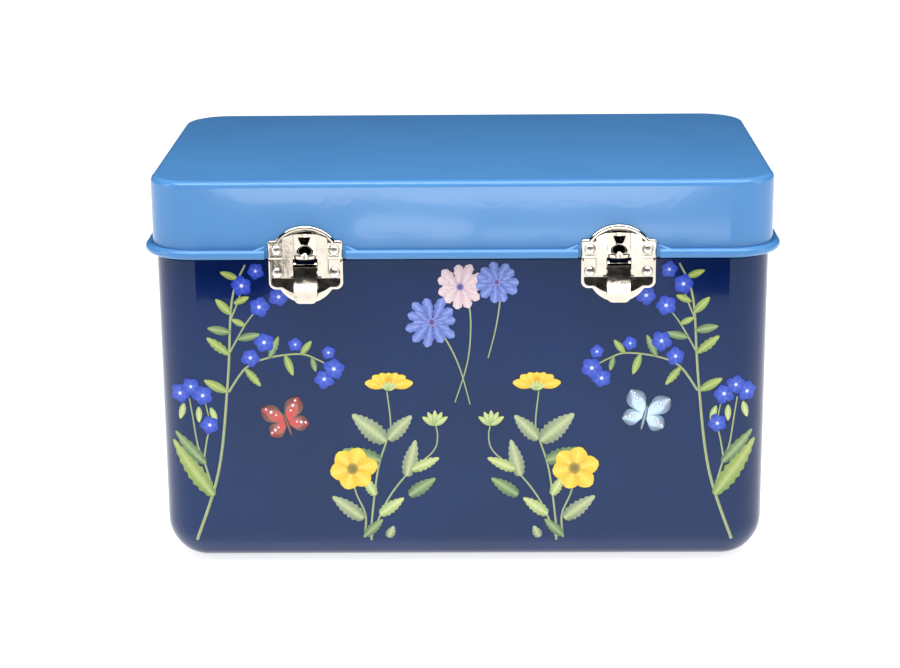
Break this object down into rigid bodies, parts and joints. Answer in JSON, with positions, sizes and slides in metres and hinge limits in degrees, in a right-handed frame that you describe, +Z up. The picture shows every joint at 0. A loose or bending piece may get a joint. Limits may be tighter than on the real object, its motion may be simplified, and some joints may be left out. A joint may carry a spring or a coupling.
{
  "type": "hinged tin box",
  "caption": "Rectangular pressed-metal tin box with a round-cornered body, a hinged lid with a rolled edge, and two draw latches on the front.",
  "frame": {"origin": "middle of the body's flat bottom, on the surface that the box stands on", "axes": "+Z up, +X to the right along the box's width, -Y out of the front with the latches; the lid hinges along the back at +Y"},
  "size_m": [0.2766, 0.1708, 0.1745],
  "materials": {
    "painted_navy": "gloss enamel with a botanical print",
    "painted_sky": "gloss enamel",
    "nickel": "bright nickel plate",
    "steel_pins": "plated steel pin",
    "rivets": "bright plated rivet heads"
  },
  "bodies": {
    "box": {"body_shell": "painted_navy", "latch_base_plate_left": "nickel", "latch_base_plate_right": "nickel", "latch_lever_pin_left": "steel_pins", "latch_lever_pin_right": "steel_pins", "hinge_body_leaf_left": "nickel", "hinge_body_leaf_right": "nickel", "hinge_pin_left": "steel_pins", "hinge_pin_right": "steel_pins", "latch_base_rivets": "rivets", "hinge_body_rivets": "rivets"},
    "lid": {"lid_shell": "painted_sky", "latch_catch_plate_left": "nickel", "latch_catch_plate_right": "nickel", "hinge_lid_leaf_left": "nickel", "hinge_lid_leaf_right": "nickel", "latch_catch_rivets": "rivets", "hinge_lid_rivets": "rivets"},
    "lever_left": {"latch_lever_left": "nickel", "latch_yoke_pin_left": "steel_pins"},
    "yoke_left": {"latch_yoke_left": "nickel"},
    "lever_right": {"latch_lever_right": "nickel", "latch_yoke_pin_right": "steel_pins"},
    "yoke_right": {"latch_yoke_right": "nickel"}
  },
  "joints": [
    {"name": "lid_hinge", "type": "hinge", "parent": "box", "child": "lid", "pos_m": [0, 0.0832, 0.1409], "axis": [-1, 0, 0], "range_deg": [0, 105]},
    {"name": "latch_lever_left", "type": "hinge", "parent": "box", "child": "lever_left", "pos_m": [-0.067, -0.082, 0.1379], "axis": [-1, 0, 0], "range_deg": [0, 105]},
    {"name": "latch_yoke_left", "type": "hinge", "parent": "lever_left", "child": "yoke_left", "pos_m": [-0.067, -0.0813, 0.1352], "axis": [1, 0, 0], "range_deg": [0, 118.12]},
    {"name": "latch_lever_right", "type": "hinge", "parent": "box", "child": "lever_right", "pos_m": [0.067, -0.082, 0.1379], "axis": [-1, 0, 0], "range_deg": [0, 105]},
    {"name": "latch_yoke_right", "type": "hinge", "parent": "lever_right", "child": "yoke_right", "pos_m": [0.067, -0.0813, 0.1352], "axis": [1, 0, 0], "range_deg": [0, 118.12]}
  ],
  "couplings": [
    {"joint": "latch_yoke_left", "follows": "latch_lever_left", "ratio": 1.125},
    {"joint": "latch_yoke_right", "follows": "latch_lever_right", "ratio": 1.125}
  ]
}
